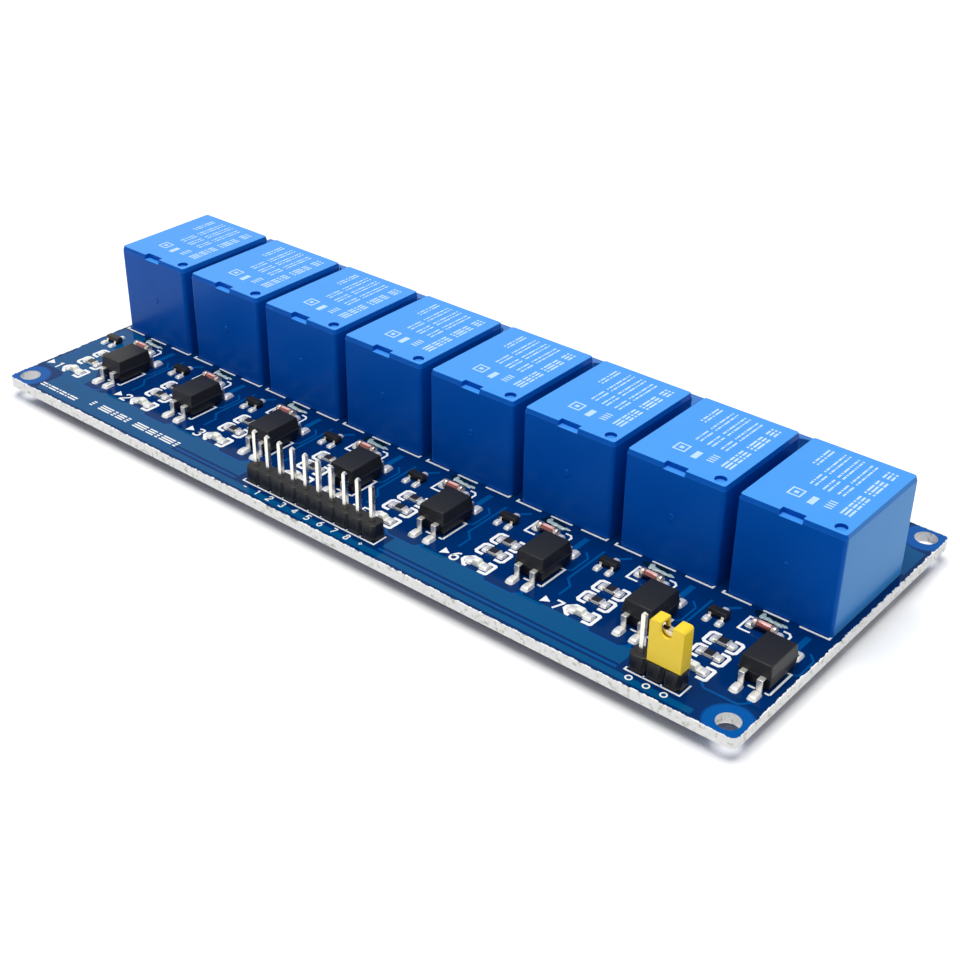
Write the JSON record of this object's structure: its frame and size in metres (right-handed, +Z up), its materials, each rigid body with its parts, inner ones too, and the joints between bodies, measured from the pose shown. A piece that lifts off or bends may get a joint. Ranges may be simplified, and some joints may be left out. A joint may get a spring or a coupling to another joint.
{
  "type": "relay module board",
  "caption": "Long blue circuit board with a row of box relays, an optocoupler, diode, transistor and light in front of each, a pin header, a jumper and screw terminals behind.",
  "frame": {"origin": "centre of the four mounting holes, on the board's underside", "axes": "+X along the board from channel 1 to channel 8, +Y from the control header to the screw terminals, +Z up out of the board's component side"},
  "size_m": [0.138, 0.056, 0.0189],
  "materials": {
    "solder_mask": "glossy blue board coating",
    "relay_case": "glossy dark blue moulding",
    "terminal_housing": "blue moulding",
    "tinned_metal": "tin-plated",
    "screw_steel": "zinc-plated",
    "contact_brass": "nickel-plated brass",
    "black_moulding": "black moulding compound",
    "light_chip": "white base under a clear lens",
    "diode_glass": "red-orange glass with metal ends",
    "resistor_chip": "black film on a ceramic chip",
    "header_moulding": "black moulding",
    "cap_moulding": "yellow moulding"
  },
  "bodies": {
    "root": {"circuit_board": "solder_mask", "relay_1": "relay_case", "relay_2": "relay_case", "relay_3": "relay_case", "relay_4": "relay_case", "relay_5": "relay_case", "relay_6": "relay_case", "relay_7": "relay_case", "relay_8": "relay_case", "screw_terminal_1": "terminal_housing", "screw_terminal_2": "terminal_housing", "screw_terminal_3": "terminal_housing", "screw_terminal_4": "terminal_housing", "screw_terminal_5": "terminal_housing", "screw_terminal_6": "terminal_housing", "screw_terminal_7": "terminal_housing", "screw_terminal_8": "terminal_housing", "optocoupler_1": "black_moulding", "optocoupler_2": "black_moulding", "optocoupler_3": "black_moulding", "optocoupler_4": "black_moulding", "optocoupler_5": "black_moulding", "optocoupler_6": "black_moulding", "optocoupler_7": "black_moulding", "optocoupler_8": "black_moulding", "transistor_1": "black_moulding", "transistor_2": "black_moulding", "transistor_3": "black_moulding", "transistor_4": "black_moulding", "transistor_5": "black_moulding", "transistor_6": "black_moulding", "transistor_7": "black_moulding", "transistor_8": "black_moulding", "indicator_led_1": "light_chip", "indicator_led_2": "light_chip", "indicator_led_3": "light_chip", "indicator_led_4": "light_chip", "indicator_led_5": "light_chip", "indicator_led_6": "light_chip", "indicator_led_7": "light_chip", "indicator_led_8": "light_chip", "relay_pins": "tinned_metal", "terminal_screws": "screw_steel", "terminal_contacts": "contact_brass", "optocoupler_leads": "tinned_metal", "transistor_leads": "tinned_metal", "flyback_diodes": "diode_glass", "chip_resistors": "resistor_chip", "control_header": "header_moulding", "control_header_pins": "tinned_metal", "jumper_header": "header_moulding", "jumper_header_pins": "tinned_metal", "jumper_cap": "cap_moulding", "jumper_clip": "contact_brass"}
  },
  "joints": []
}
